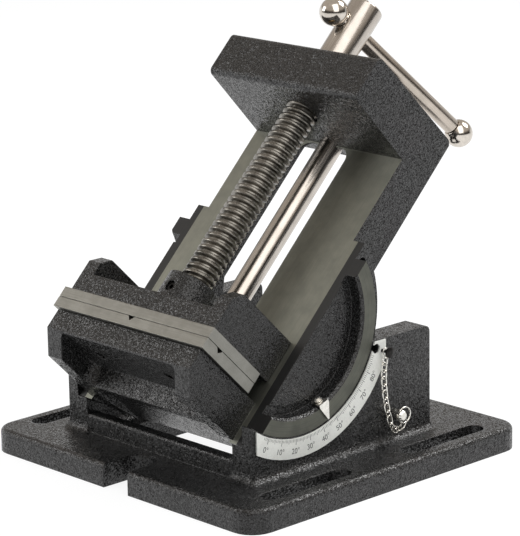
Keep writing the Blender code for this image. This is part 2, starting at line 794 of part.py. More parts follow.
def make_bed(axis, paint):
    """The tilting casting: bed, fixed jaw, end block, flanges and guide rings in one piece."""
    half = bed_half_width
    beam = bed_box(fixed_face_u, block_back_u - overrun, half, bed_under_w, rail_w)
    bed = piece("tilting_bed", beam, axis, paint)
    add(bed, along_y(fixed_jaw_profile(), -half, half), along_y(block_profile(), -half, half))
    for side in (-1, 1):
        add(bed, flange(side), guide_ring(side), web_step(side))

    inner = half - bed_side_thickness
    under = bed_under_w - overrun
    end_wall_u = fixed_back_u + under_pocket_depth
    hollow_low_u, hollow_high_u = end_wall_u + end_wall_thickness, block_front_u + hollow_under_block
    cut(bed, bed_box(hollow_low_u, hollow_high_u, inner, under, rail_under_w), *slot_cutters(under))
    cheek = half - fixed_cheek_thickness
    shelf_under_w = pocket_floor_w - pocket_floor_fall - shelf_thickness
    cut(bed, fixed_pocket(overrun), bed_box(fixed_back_u - overrun, end_wall_u, cheek, under, shelf_under_w))

    bore = rod_radius + seat_gap
    rod_low = slot_low_u - rod_low_end_depth - seat_gap
    rod_high = block_front_u + rod_high_end_depth + seat_gap
    cut(bed, rod(bore, u_line, (0, 0, rod_w), rod_low, rod_high))
    screw_at = rod_high - rod_set_screw_inset
    screw_hole = rod(rod_set_screw_radius + seat_gap, w_line, (screw_at, 0, 0), under, rod_w, 16)
    nut_seat = block_front_u + nut_shoulder
    hole = screw_radius + seat_gap
    front_hole = rod(hole, u_line, (0, 0, screw_w), block_front_u - overrun, nut_seat + overrun)
    nut_hole = rod(nut_radius + seat_gap, u_line, (0, 0, screw_w), nut_seat, block_back_u + overrun)
    cut(bed, screw_hole, front_hole, nut_hole)

    for side in (-1, 1):
        centre = (0, side * jaw_screw_spread, jaw_screw_w)
        hole = jaw_screw_radius + seat_gap
        cut(bed, rod(hole, u_line, centre, wall_u - overrun, fixed_face_u + overrun, 16))
        for degrees in (lock_hole_degrees, lock_hole_degrees - 90):
            a = math.radians(degrees)
            place = (lock_hole_radius_on_cradle * math.cos(a), 0, lock_hole_radius_on_cradle * math.sin(a))
            if side < 0:
                hole = lock_pin_radius + seat_gap
                inside = -bed_half_width - overrun / 2
                cut(bed, rod(hole, y_line, place, -flange_face_y - overrun, inside, 20))
    a = math.radians(zero_mark_degrees)
    direction = (math.cos(a), 0, math.sin(a))
    place = (0, -wall_outer_y + pointer_tab_length / 2, 0)
    depth = ring_inner_radius + pointer_screw_grip + seat_gap
    cut(bed, rod(pointer_screw_radius + seat_gap, direction, place, ring_inner_radius - overrun, depth, 10))
    return bed


def make_pointer(axis, steel, bright):
    """The bent pointer, a tab inside the ring and a triangle over its face, and its screw."""
    a = math.radians(zero_mark_degrees)
    out = Vector((math.cos(a), 0, math.sin(a)))
    side = Vector((-math.sin(a), 0, math.cos(a)))
    deep = Vector(y_line)
    high = ring_inner_radius - seat_gap
    low = high - pointer_thickness
    face = -wall_outer_y - seat_gap
    front = face - pointer_thickness
    half = pointer_half_width
    tab_end = pointer_tab_length - wall_outer_y

    # Each row is the strip's outer pair of corners, then its pair that faces the ring
    places = []
    for i in range(round_steps):
        b = math.pi / 2 * (1 - i / round_steps) * pointer_round_share
        y = tab_end - half + half * math.sin(b)
        places.append(((low, y), (high, y), half * math.cos(b)))
    places.append(((low, front), (high, face), half))
    shoulder = high + pointer_thickness
    places.append(((shoulder, front), (shoulder, face), half))
    places.append(((pointer_reach, front), (pointer_reach, face), pointer_tip_half_width))
    rows = []
    for outer, inner, half_width in places:
        row = []
        for (radius, y), signs in ((outer, (1, -1)), (inner, (-1, 1))):
            for sign in signs:
                row.append(out * radius + deep * y + side * half_width * sign)
        rows.append(row)
    pointer = piece("angle_pointer", skin(rows), axis, bright)
    place = deep * (pointer_tab_length / 2 - wall_outer_y)
    hole = pointer_screw_radius + seat_gap
    cut(pointer, rod(hole, out, place, low - overrun, high + seat_gap / 2, 10))
    top = low - seat_gap
    crown = top - pointer_screw_head_height
    profile = [
        (pointer_screw_head_radius * socket_share, crown),
        (pointer_screw_head_radius, crown + pointer_screw_head_height / 2),
        (pointer_screw_head_radius, top),
        (pointer_screw_radius, top),
        (pointer_screw_radius, ring_inner_radius + pointer_screw_grip),
    ]
    piece("pointer_screw", turned(profile, out, place, 16), axis, steel)


def jaw_plate(name, axis, steel, low_u, inward):
    """A hardened jaw plate, its screw holes sunk from the gripping face."""
    high_u = low_u + jaw_plate_thickness
    reach = bed_half_width + jaw_plate_overhang
    shape = box((low_u, -reach, jaw_plate_low_w), (high_u, reach, jaw_plate_top_w))
    plate = piece(name, shape, axis, steel)
    face = high_u if inward > 0 else low_u
    for side in (-1, 1):
        centre = (0, side * jaw_screw_spread, jaw_screw_w)
        deep = jaw_screw_head_depth + seat_gap
        wide = jaw_screw_head_radius + seat_gap
        narrow = jaw_screw_radius + seat_gap
        profile = [
            (narrow, face - inward * (jaw_plate_thickness + overrun)),
            (narrow, face - inward * deep),
            (wide, face),
            (wide, face + inward * overrun),
        ]
        cut(plate, turned(profile, u_line, centre, 20))
    return plate


def vee(plate_face_u, level):
    """A vee-shaped cutter in a jaw plate's gripping face, across it or up it."""
    out = overrun
    wide = vee_half_width * (vee_depth + out) / vee_depth
    reach = bed_half_width + jaw_plate_overhang + overrun
    notch = [(plate_face_u - vee_depth, 0), (plate_face_u + out, wide), (plate_face_u + out, -wide)]
    if level:
        return along_y([(u, vee_level_w + v) for u, v in notch], -reach, reach)
    return along_z(notch, jaw_plate_low_w - overrun, jaw_plate_top_w + overrun)


def sunk_screw(name, axis, steel, face_u, inward, centre, sizes):
    """A countersunk socket screw whose head lies flush in a plate."""
    radius, head_radius, head_depth = sizes
    profile = [
        (head_radius, face_u),
        (radius, face_u - inward * head_depth),
        (radius, face_u - inward * (jaw_plate_thickness + jaw_screw_grip)),
    ]
    screw = piece(name, turned(profile, u_line, centre, 20), axis, steel)
    deep = head_depth * socket_depth_share
    socket = radius * socket_share * 2
    low, high = sorted((face_u + inward * overrun, face_u - inward * deep))
    cut(screw, rod(socket, u_line, centre, low, high, 6))
    return screw


def make_jaw_plates(bed_axis, jaw_axis, plate_steel, screw_steel):
    """Both jaw plates and their four screws; only the fixed plate has the vee grooves."""
    fixed = jaw_plate("fixed_jaw_plate", bed_axis, plate_steel, fixed_face_u + seat_gap, 1)
    face = fixed_face_u + seat_gap + jaw_plate_thickness
    cut(fixed, vee(face, True), vee(face, False))
    move_low = move_face_u - seat_gap - jaw_plate_thickness
    jaw_plate("movable_jaw_plate", jaw_axis, plate_steel, move_low, -1)
    sizes = (jaw_screw_radius, jaw_screw_head_radius, jaw_screw_head_depth)
    for side, word in ((-1, "near"), (1, "far")):
        centre = (0, side * jaw_screw_spread, jaw_screw_w)
        fixed_name, moving_name = f"fixed_plate_screw_{word}", f"movable_plate_screw_{word}"
        sunk_screw(fixed_name, bed_axis, screw_steel, face, 1, centre, sizes)
        sunk_screw(moving_name, jaw_axis, screw_steel, move_low, -1, centre, sizes)


def make_movable_jaw(axis, paint):
    """The sliding jaw: front wall, two cheeks, sole, screw boss and the tongue between the rails."""
    half = bed_half_width
    low = jaw_low_w
    wall = [
        (move_face_u, low),
        (move_face_u + jaw_wall_thickness, low),
        (move_face_u + jaw_wall_thickness, jaw_top_w),
        (move_face_u, jaw_top_w),
    ]
    jaw = piece("movable_jaw", along_y(wall, -half, half), axis, paint)
    cheek = [
        (move_face_u + overrun, low),
        (jaw_back_u, low),
        (jaw_back_u, jaw_top_w - cheek_chamfer),
        (jaw_back_u - cheek_chamfer, jaw_top_w),
        (move_face_u + overrun, jaw_top_w),
    ]
    for side in (-1, 1):
        inside = sorted((side * (half - cheek_thickness), side * half))
        add(jaw, along_y(cheek, *inside))
    sole = bed_box(move_face_u + overrun, jaw_back_u, half - cheek_thickness / 2, low, low + sole_thickness)
    boss = rod(screw_boss_radius, u_line, (0, 0, screw_w), move_face_u + overrun, boss_end_u, 28)
    pedestal = bed_box(move_face_u + overrun, jaw_back_u, screw_boss_radius, low, screw_w)
    tongue_half = slot_half_width - tongue_clearance
    tongue_high_u = tongue_low_u + tongue_length
    tongue = bed_box(tongue_low_u, tongue_high_u, tongue_half, tongue_low_w, low + sole_thickness / 2)
    add(jaw, sole, boss, pedestal, tongue)

    foot_bore = screw_foot_radius + seat_gap
    foot_end = boss_end_u - screw_foot_length - seat_gap
    cut(jaw, rod(foot_bore, u_line, (0, 0, screw_w), foot_end, boss_end_u + overrun))
    rod_bore = rod_radius + seat_gap
    cut(jaw, rod(rod_bore, u_line, (0, 0, rod_w), move_face_u - overrun, jaw_back_u + overrun))
    groove_u = boss_end_u - foot_groove_from_mouth
    top = screw_w + screw_boss_radius + overrun
    hole = retainer_radius + seat_gap
    cut(jaw, rod(hole, w_line, (groove_u, 0, 0), screw_w + foot_groove_radius, top, 16))
    for side in (-1, 1):
        centre = (0, side * jaw_screw_spread, jaw_screw_w)
        grip = jaw_screw_grip + seat_gap
        hole = jaw_screw_radius + seat_gap
        cut(jaw, rod(hole, u_line, centre, move_face_u - overrun, move_face_u + grip, 16))
        middle = (keeper_low_u + keeper_length / 2, side * keeper_screw_spread, 0)
        grip_top = tongue_low_w + keeper_screw_grip + seat_gap
        hole = keeper_screw_radius + seat_gap
        cut(jaw, rod(hole, w_line, middle, tongue_low_w - overrun, grip_top, 16))
    return jaw


def make_keeper(axis, steel, screw_steel):
    """The plate under the rails that holds the jaw down, its two screws and the foot retainer."""
    low_u, high_u = keeper_low_u, keeper_low_u + keeper_length
    shape = box((low_u, -keeper_half_width, keeper_low_w), (high_u, keeper_half_width, keeper_top_w))
    keeper = piece("keeper_plate", shape, axis, steel)
    middle_u = (low_u + high_u) / 2
    for side, word in ((-1, "near"), (1, "far")):
        centre = (middle_u, side * keeper_screw_spread, 0)
        wide = keeper_screw_head_radius + seat_gap
        narrow = keeper_screw_radius + seat_gap
        sink = keeper_low_w + keeper_screw_head_radius - keeper_screw_radius
        profile = [
            (wide, keeper_low_w - overrun),
            (wide, keeper_low_w + seat_gap),
            (narrow, sink + seat_gap),
            (narrow, keeper_top_w + overrun),
        ]
        cut(keeper, turned(profile, w_line, centre, 20))
        head = [
            (keeper_screw_head_radius, keeper_low_w),
            (keeper_screw_radius, sink),
            (keeper_screw_radius, tongue_low_w + keeper_screw_grip),
        ]
        screw = piece(f"keeper_screw_{word}", turned(head, w_line, centre, 20), axis, screw_steel)
        deep = keeper_low_w + (keeper_screw_head_radius - keeper_screw_radius) * socket_depth_share
        cut(screw, rod(keeper_screw_radius, w_line, centre, keeper_low_w - overrun, deep, 6))
    groove_u = boss_end_u - foot_groove_from_mouth
    low = screw_w + foot_groove_radius + seat_gap
    high = screw_w + screw_boss_radius - retainer_radius / 2
    shoulder = screw_w + screw_foot_radius + seat_gap
    profile = [
        (retainer_dog_radius, low),
        (retainer_dog_radius, shoulder),
        (retainer_radius, shoulder + seat_gap),
        (retainer_radius, high),
    ]
    retainer = piece("screw_retainer", turned(profile, w_line, (groove_u, 0, 0), 16), axis, screw_steel)
    socket = retainer_radius * socket_share
    cut(retainer, rod(socket, w_line, (groove_u, 0, 0), high - retainer_radius, high + overrun, 6))


def make_screw(screw_axis, bed_axis, thread_steel, chrome, bronze):
    """The lead screw with its foot, the nut in the end block, and the bored head."""
    start = thread_low_u
    root = screw_radius - thread_depth
    end = head_low_u - seat_gap
    foot_low = boss_end_u - screw_foot_length
    groove_u = boss_end_u - foot_groove_from_mouth
    half = foot_groove_width / 2
    profile = [
        (screw_foot_radius, foot_low),
        (screw_foot_radius, groove_u - half - seat_gap),
        (foot_groove_radius, groove_u - half),
        (foot_groove_radius, groove_u + half),
        (screw_foot_radius, groove_u + half + seat_gap),
        (screw_foot_radius, boss_end_u + seat_gap),
        (root, start),
        (root, end),
        (spigot_radius, end + seat_gap),
        (spigot_radius, head_low_u + spigot_length),
    ]
    profile = [(radius, place - bar_u) for radius, place in profile]
    core = turned(profile, u_line, (0, 0, 0), thread_segments * 2)
    screw = piece("lead_screw", core, screw_axis, thread_steel)
    add(screw, thread_ridge(start - bar_u, end - bar_u))
    pin_place = (head_low_u + spigot_length / 2 - bar_u, 0, 0)
    pin_bore = head_pin_radius + seat_gap
    reach = head_radius + overrun
    cut(screw, rod(pin_bore, y_line, pin_place, -reach, reach, 12))

    low, high = head_low_u - bar_u, head_high_u - bar_u
    profile = [
        (head_radius - head_chamfer, low),
        (head_radius, low + head_chamfer),
        (head_radius, high - head_chamfer),
        (head_radius - head_chamfer, high),
    ]
    head = piece("screw_head", turned(profile, u_line, (0, 0, 0), 32), screw_axis, chrome)
    socket_end = low + spigot_length + seat_gap
    cut(head, rod(spigot_radius + seat_gap, u_line, (0, 0, 0), low - overrun, socket_end))
    cut(head, rod(pin_bore, y_line, pin_place, -reach, reach, 12))
    cut(head, rod(bar_radius + bar_bore_clearance, w_line, (0, 0, 0), -reach, reach))
    pin_reach = head_radius - seat_gap
    pin = rod(head_pin_radius, y_line, pin_place, -pin_reach, pin_reach, 12)
    piece("screw_head_pin", pin, screw_axis, chrome)

    nut_front = block_front_u + nut_shoulder + seat_gap
    bush = rod(nut_radius, u_line, (0, 0, screw_w), nut_front, block_back_u, 28)
    nut = piece("lead_nut", bush, bed_axis, bronze)
    clear = screw_radius + seat_gap
    cut(nut, rod(clear, u_line, (0, 0, screw_w), block_front_u - overrun, block_back_u + overrun))


def thread_ridge(low, high):
    """One helical ridge round the bar, sunk a little into it, with its two ends closed."""
    crest = screw_radius
    sunk = screw_radius - thread_depth - seat_gap
    section = (
        (0, sunk),
        (thread_flank_share, crest),
        (thread_flank_share + thread_crest_share, crest),
        (thread_flank_share * 2 + thread_crest_share, sunk),
    )
    turns = (high - low) / thread_pitch - 1
    steps = int(turns * thread_segments)
    rows = []
    for i in range(steps + 1):
        a = 2 * math.pi * i / thread_segments
        u = low + thread_pitch * i / thread_segments
        row = []
        for share, radius in section:
            row.append(Vector((u + thread_pitch * share, radius * math.cos(a), radius * math.sin(a))))
        rows.append(row)
    return skin(rows)


def make_handle(axis, chrome):
    """The bar handle, stepped down at both ends, and the two flat-faced balls on its spigots."""
    low, high = -lower_ball_reach, upper_ball_reach
    flat = ball_flat_reach
    low_shoulder, high_shoulder = low + flat + seat_gap, high - flat - seat_gap
    profile = [
        (bar_spigot_radius, low_shoulder - bar_spigot_length),
        (bar_spigot_radius, low_shoulder),
        (bar_radius, low_shoulder),
        (bar_radius, high_shoulder),
        (bar_spigot_radius, high_shoulder),
        (bar_spigot_radius, high_shoulder + bar_spigot_length),
    ]
    piece("handle_bar", turned(profile, w_line, (0, 0, 0), 20), axis, chrome)
    steps = 12
    widest_turn = math.pi - math.acos(flat / ball_radius)
    for name, centre, away in (("handle_ball_upper", high, 1), ("handle_ball_lower", low, -1)):
        profile = []
        for i in range(steps + 1):
            a = widest_turn * i / steps
            profile.append((ball_radius * math.sin(a), centre + away * ball_radius * math.cos(a)))
        ball = piece(name, turned(profile, w_line, (0, 0, 0), 24), axis, chrome)
        face = centre - away * flat
        low_end, high_end = sorted((face - away * overrun, face + away * bar_spigot_length))
        cut(ball, rod(bar_spigot_radius + seat_gap, w_line, (0, 0, 0), low_end, high_end, 16))


def make_guide_rod(axis, steel, screw_steel):
    """The round guide under the lead screw and the set screw that holds its upper end."""
    low = slot_low_u - rod_low_end_depth
    high = block_front_u + rod_high_end_depth
    piece("guide_rod", rod(rod_radius, u_line, (0, 0, rod_w), low, high, 28), axis, steel)
    at = high + seat_gap - rod_set_screw_inset
    top = rod_w - rod_radius - seat_gap
    bottom = bed_under_w + rod_set_screw_radius / 2
    shank = rod(rod_set_screw_radius, w_line, (at, 0, 0), bottom, top, 16)
    screw = piece("rod_set_screw", shank, axis, screw_steel)
    socket = rod_set_screw_radius * socket_share
    cut(screw, rod(socket, w_line, (at, 0, 0), bottom - overrun, bottom + rod_set_screw_radius, 6))


def build():
    clear_scene()
    paint = finish("hammered_paint", (0.05, 0.05, 0.052), 0.45, 0.2)
    ground_steel = finish("ground_steel", (0.5, 0.5, 0.48), 0.35, 1)
    dark_steel = finish("dark_steel", (0.12, 0.12, 0.12), 0.4, 0.9)
    scale_plate = finish("scale_plate", (0.75, 0.76, 0.74), 0.4, 0.3)
    chrome = finish("chrome", (0.8, 0.78, 0.75), 0.12, 1)
    thread_steel = finish("oiled_steel", (0.25, 0.25, 0.23), 0.35, 1)
    bronze = finish("bronze", (0.55, 0.38, 0.18), 0.4, 1)

    root = axes("base_frame", None, (base_centre_x, 0, 0))
    tilt = axes("tilt_axis", root, (pivot_x, 0, pivot_z), (0, -math.radians(tilt_degrees), 0))
    jaw = axes("jaw_slide", tilt, (0, 0, 0))
    screw = axes("screw_axis", jaw, (bar_u, 0, screw_w), (math.radians(bar_turn_degrees), 0, 0))
    bar = axes("bar_slide", screw, (0, 0, 0))
    scale_face_y = -wall_outer_y - seat_gap - scale_thickness
    pin = axes("lock_pin_slide", root, (parked_pin_x, scale_face_y, parked_pin_z))
    clamp_x, clamp_z = on_cradle(clamp_radius_on_cradle, clamp_degrees)
    clamp = axes("clamp_axis", root, (clamp_x, wall_outer_y, clamp_z))

    make_base(root, paint)
    make_scale(root, scale_plate)
    make_chain_anchor(root, dark_steel)
    make_chain(root, chrome)
    make_lock_pin(pin, dark_steel, chrome)
    make_tilt_clamp(root, clamp, dark_steel)
    make_bed(tilt, paint)
    make_pointer(tilt, dark_steel, chrome)
    make_jaw_plates(tilt, jaw, ground_steel, dark_steel)
    make_guide_rod(tilt, ground_steel, dark_steel)
    make_movable_jaw(jaw, paint)
    make_keeper(jaw, ground_steel, dark_steel)
    make_screw(screw, tilt, thread_steel, chrome, bronze)
    make_handle(bar, chrome)
    bpy.context.view_layer.update()


build()
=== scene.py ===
import json
import math

import bmesh
import bpy
import numpy as np
from mathutils import Matrix, Vector


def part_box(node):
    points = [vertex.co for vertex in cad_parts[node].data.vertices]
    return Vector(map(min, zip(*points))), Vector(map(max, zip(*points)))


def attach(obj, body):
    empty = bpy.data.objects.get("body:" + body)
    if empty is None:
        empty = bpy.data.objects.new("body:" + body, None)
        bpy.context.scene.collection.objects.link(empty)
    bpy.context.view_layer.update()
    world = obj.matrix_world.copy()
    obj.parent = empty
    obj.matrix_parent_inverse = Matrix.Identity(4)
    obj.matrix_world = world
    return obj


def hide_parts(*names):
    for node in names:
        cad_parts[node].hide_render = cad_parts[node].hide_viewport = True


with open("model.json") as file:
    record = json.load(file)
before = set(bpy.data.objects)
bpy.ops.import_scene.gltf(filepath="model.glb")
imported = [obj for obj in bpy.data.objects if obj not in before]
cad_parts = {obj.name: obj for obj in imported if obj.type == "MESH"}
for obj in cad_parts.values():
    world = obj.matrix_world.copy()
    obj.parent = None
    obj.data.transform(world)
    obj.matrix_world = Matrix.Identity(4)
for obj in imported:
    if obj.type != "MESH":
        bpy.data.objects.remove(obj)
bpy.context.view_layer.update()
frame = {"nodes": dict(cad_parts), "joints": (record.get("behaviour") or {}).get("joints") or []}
nodes = frame["nodes"]
jointOf = {joint["name"]: joint for joint in frame["joints"]}
mm = 0.001
print("frame loaded")

# The bed's own axes, from the tilt pin: along it towards the handle, across it, and square to it
tilt = math.radians(45)
along = Vector((math.cos(tilt), 0, math.sin(tilt)))
across = Vector((0, 1, 0))
upright = Vector((-math.sin(tilt), 0, math.cos(tilt)))
pivot = Vector(jointOf["tilt"]["pos_m"])
screwHeight = 13.4 * mm
railHeight = -17 * mm
ringFace = 77.5 * mm
railSide = 64 * mm
barLine = Vector(jointOf["bar_slide"]["axis"]).normalized()


def bedPoint(u, y, w):
    return pivot + along * u + across * y + upright * w


# Colours and nodes

def linear(hexColour):
    # A picture colour as the linear light that a shader takes
    parts = [int(hexColour[i:i + 2], 16) / 255 for i in (1, 3, 5)]
    return (*[c / 12.92 if c <= 0.04045 else ((c + 0.055) / 1.055) ** 2.4 for c in parts], 1)


def addNode(tree, kind, inputs=None, output=0, stops=(), **settings):
    # Adds a node with its settings and returns one of its outputs. Its inputs take values or
    # links, and a ramp's stops are places and hex colours.
    node = tree.nodes.new(kind)
    for name, value in settings.items():
        setattr(node, name, value)
    for name, value in (inputs or {}).items():
        if isinstance(value, bpy.types.NodeSocket):
            tree.links.new(value, node.inputs[name])
        else:
            node.inputs[name].default_value = value
    for element, (place, colour) in zip(node.color_ramp.elements if stops else (), stops):
        element.position = place
        element.color = linear(colour)
    return node.outputs[output] if node.outputs else node


def newMaterial(name):
    material = bpy.data.materials.new(name)
    material.use_nodes = True
    tree = material.node_tree
    return material, tree, tree.nodes["Principled BSDF"]


def setShader(shader, **values):
    for name, value in values.items():
        shader.inputs[name.replace("_", " ")].default_value = value


def shade(hexColour, factor):
    # The same colour, lighter or darker
    parts = [min(255, round(int(hexColour[i:i + 2], 16) * factor)) for i in (1, 3, 5)]
    return "#" + "".join(f"{part:02x}" for part in parts)


def fromTo(value, start, low, high):
    # The inputs of a node that maps a value from one range to another
    return {"Value": value, "From Min": start[0], "From Max": start[1], "To Min": low, "To Max": high}


# Hammered enamel: near black and glossy. Its lumps of about a millimetre each turn another
# piece of the studio towards the eye, so that it looks like fine salt and pepper; the lighter flecks in its
# colour are partly the enamel's own flake and partly painted glints.
paintLook = {
    "lump": 1.2 * mm, "lumpSoftness": 0.4,
    "grain": 0.75 * mm, "grainHeight": 0.7, "fleckStart": 0.49, "fleckFull": 0.62,
    "height": 0.22 * mm,
    "facet": 0.75 * mm, "facetTilt": 0.52,
    "dark": "#0a0a0a", "fleck": "#3a3a3a", "plain": "#181818",
    "smooth": 0.21, "dull": 0.28, "wear": (0.35, 0.65), "wearSize": 12 * mm,
    "edge": 1.0 * mm, "seam": 0.35 * mm, "seamHeight": 1.2,
}


def makeHammeredEnamel(name, seam=False):
    look = paintLook
    material, tree, shader = newMaterial(name)
    place = addNode(tree, "ShaderNodeTexCoord", output="Object")
    lumps = addNode(tree, "ShaderNodeTexVoronoi", {
        "Vector": place, "Scale": 1 / look["lump"], "Smoothness": look["lumpSoftness"],
    }, "Distance", feature="SMOOTH_F1")
    grain = addNode(tree, "ShaderNodeTexNoise", {
        "Vector": place, "Scale": 1 / look["grain"], "Detail": 2.0,
    }, "Fac")
    wear = addNode(tree, "ShaderNodeTexNoise", {
        "Vector": place, "Scale": 1 / look["wearSize"], "Detail": 3.0,
    }, "Fac")
    # The fine grain lifts the near black to lighter flecks: partly the enamel's own flake, partly painted
    # glints that stand in for highlights
    stops = [(look["fleckStart"], look["dark"]), (look["fleckFull"], look["fleck"])]
    colour = addNode(tree, "ShaderNodeValToRGB", {"Fac": grain}, "Color", stops)
    tree.links.new(colour, shader.inputs["Base Color"])
    wearToGloss = fromTo(wear, look["wear"], look["smooth"], look["dull"])
    gloss = addNode(tree, "ShaderNodeMapRange", wearToGloss, "Result")
    tree.links.new(gloss, shader.inputs["Roughness"])
    # Low lumps in the middle of each cell, with the finer grain between them
    height = addNode(tree, "ShaderNodeMath", {
        0: grain, 1: look["grainHeight"], 2: lumps,
    }, operation="MULTIPLY_ADD")
    if seam:
        # The casting's parting line: a low ridge along the bed at the height of the rails
        square = addNode(tree, "ShaderNodeVectorMath", {
            0: place, 1: tuple(upright),
        }, "Value", operation="DOT_PRODUCT")
        seamPlace = pivot.dot(upright) + railHeight
        away = addNode(tree, "ShaderNodeMath", {0: square, 1: seamPlace}, operation="SUBTRACT")
        away = addNode(tree, "ShaderNodeMath", {0: away}, operation="ABSOLUTE")
        awayToRidge = fromTo(away, (0, look["seam"]), look["seamHeight"], 0.0)
        ridge = addNode(tree, "ShaderNodeMapRange", awayToRidge, "Result")
        height = addNode(tree, "ShaderNodeMath", {0: height, 1: ridge}, operation="ADD")
    edge = addNode(tree, "ShaderNodeBevel", {"Radius": look["edge"]}, "Normal", samples=6)
    # Each small facet leans its own way, by a random share of the tilt to both sides
    facets = addNode(tree, "ShaderNodeTexVoronoi", {"Vector": place, "Scale": 1 / look["facet"]}, "Color")
    lean = addNode(tree, "ShaderNodeVectorMath", {0: facets, 1: (0.5, 0.5, 0.5)}, operation="SUBTRACT")
    lean = addNode(tree, "ShaderNodeVectorMath", {
        0: lean, 1: (look["facetTilt"],) * 3, 2: edge,
    }, operation="MULTIPLY_ADD")
    lean = addNode(tree, "ShaderNodeVectorMath", {0: lean}, operation="NORMALIZE")
    bump = addNode(tree, "ShaderNodeBump", {
        "Strength": 1.0, "Distance": look["height"], "Height": height, "Normal": lean,
    }, "Normal", invert=True)
    tree.links.new(bump, shader.inputs["Normal"])
    return material


# Bare metals. Fine tool or drawing lines run along the given direction, or round a centre, and
# change the gloss, and broad soft patches of handling change the tone.
metalLook = {
    "stretch": 30, "patch": 9 * mm, "scratch": 0.03 * mm, "bump": 0.5,
    "toneRange": (0.14, 0.36), "glossRange": (0.3, 0.7), "mirror": 0.03,
}


def makeMetal(name, colour, roughness, spacing, line=None, centre=None, spread=0.10, tone=0.10,
              edge=0.4 * mm, paintFrom=None):
    look = metalLook
    material, tree, shader = newMaterial(name)
    setShader(shader, Metallic=1.0)
    place = addNode(tree, "ShaderNodeTexCoord", output="Object")
    patches = addNode(tree, "ShaderNodeTexNoise", {
        "Vector": place, "Scale": 1 / look["patch"], "Detail": 4.0, "Roughness": 0.6,
    }, "Fac")
    if centre is not None:
        # Turned on a lathe: rings round the centre
        off = addNode(tree, "ShaderNodeVectorMath", {0: place, 1: tuple(centre)}, operation="SUBTRACT")
        flat = addNode(tree, "ShaderNodeVectorMath", {0: off, 1: (1, 0, 1)}, operation="MULTIPLY")
        radius = addNode(tree, "ShaderNodeVectorMath", {0: flat}, "Value", operation="LENGTH")
        lines = addNode(tree, "ShaderNodeTexNoise", {
            "W": radius, "Scale": 1 / spacing, "Detail": 3.0,
        }, "Fac", noise_dimensions="1D")
    else:
        turn = Vector(line or (1, 0, 0)).to_track_quat("X", "Z").to_euler()
        turned = addNode(tree, "ShaderNodeMapping", {
            "Vector": place, "Rotation": tuple(turn), "Scale": (look["stretch"] if line else 1, 1, 1),
        }, "Vector", vector_type="TEXTURE")
        lines = addNode(tree, "ShaderNodeTexNoise", {
            "Vector": turned, "Scale": 1 / spacing, "Detail": 4.0, "Roughness": 0.6,
        }, "Fac")
    mottle = addNode(tree, "ShaderNodeMath", {0: lines, 1: patches}, operation="MULTIPLY")
    stops = list(zip(look["toneRange"], (shade(colour, 1 - tone), shade(colour, 1 + tone))))
    skin = addNode(tree, "ShaderNodeValToRGB", {"Fac": mottle}, "Color", stops)
    if paintFrom:
        # Beyond that distance from the part's middle plane the face is painted
        side = addNode(tree, "ShaderNodeSeparateXYZ", {"Vector": place}, "Y")
        side = addNode(tree, "ShaderNodeMath", {0: side}, operation="ABSOLUTE")
        bare = addNode(tree, "ShaderNodeMath", {0: side, 1: paintFrom}, operation="LESS_THAN")
        skin = addNode(tree, "ShaderNodeMix", {
            "Factor": bare, 6: linear(paintLook["plain"]), 7: skin,
        }, 2, data_type="RGBA")
        tree.links.new(bare, shader.inputs["Metallic"])
    tree.links.new(skin, shader.inputs["Base Color"])
    low, high = max(look["mirror"], roughness - spread / 2), roughness + spread
    gloss = addNode(tree, "ShaderNodeMapRange", fromTo(lines, look["glossRange"], low, high), "Result")
    tree.links.new(gloss, shader.inputs["Roughness"])
    normal = addNode(tree, "ShaderNodeBevel", {"Radius": edge}, "Normal", samples=4)
    bump = addNode(tree, "ShaderNodeBump", {
        "Strength": look["bump"], "Distance": look["scratch"], "Height": lines, "Normal": normal,
    }, "Normal")
    tree.links.new(bump, shader.inputs["Normal"])
    return material


hammeredEnamel = makeHammeredEnamel("hammeredEnamel")
bedEnamel = makeHammeredEnamel("hammeredEnamelBed", seam=True)
# Milled grey iron: dull, slightly green, with cutter lines along the bed
milledIron = makeMetal("milledIron", "#898a81", 0.46, 0.8 * mm, line=along, tone=0.05, paintFrom=railSide)
# The same iron turned on a lathe: rings round the tilt pin
turnedIron = makeMetal("turnedIron", "#62635c", 0.42, 0.9 * mm, centre=pivot, tone=0.08)
# Ground jaw plates: paler, with fine grinding lines along the jaw
groundSteel = makeMetal("groundSteel", "#8d8c86", 0.40, 0.7 * mm, line=across, tone=0.06)
# Polished plate: bright and warm, with soft drawing lines
chromeAlong = makeMetal("chromeAlongScrew", "#bdb6ae", 0.19, 0.9 * mm, line=along, spread=0.12, tone=0.05)
chromeBar = makeMetal("chromeAlongBar", "#c2b8ad", 0.19, 0.9 * mm, line=barLine, spread=0.12, tone=0.05)
chromeBall = makeMetal("chromeBall", "#cfc8bf", 0.12, 2.5 * mm, spread=0.05, tone=0.05)
# Nickelled wire and stamped tab
brightWire = makeMetal("nickelledWire", "#dedcd6", 0.20, 1.5 * mm, tone=0.06, edge=0.1 * mm)
# Blackened screws: dark with a low gloss
blackSteel = makeMetal("blackenedSteel", "#2b2a29", 0.38, 0.8 * mm, tone=0.2)
# Rolled thread with oil in its roots
oiledThread = makeMetal("oiledThread", "#7b7872", 0.30, 0.7 * mm, spread=0.14, tone=0.22, edge=0.15 * mm)
bronze = makeMetal("turnedBronze", "#6e5d3e", 0.4, 0.6 * mm)
# Silvered scale strip: pale, hardly metallic, with black printed marks
scalePlate = makeMetal("silveredScale", "#e6e7e2", 0.48, 0.8 * mm, tone=0.03, edge=0.1 * mm)
setShader(scalePlate.node_tree.nodes["Principled BSDF"], Metallic=0.2)
markInk = makeMetal("printedInk", "#161616", 0.5, 0.5 * mm, tone=0.2, edge=0.05 * mm)
setShader(markInk.node_tree.nodes["Principled BSDF"], Metallic=0.0)
print("materials made")


# Finishes on the CAD parts

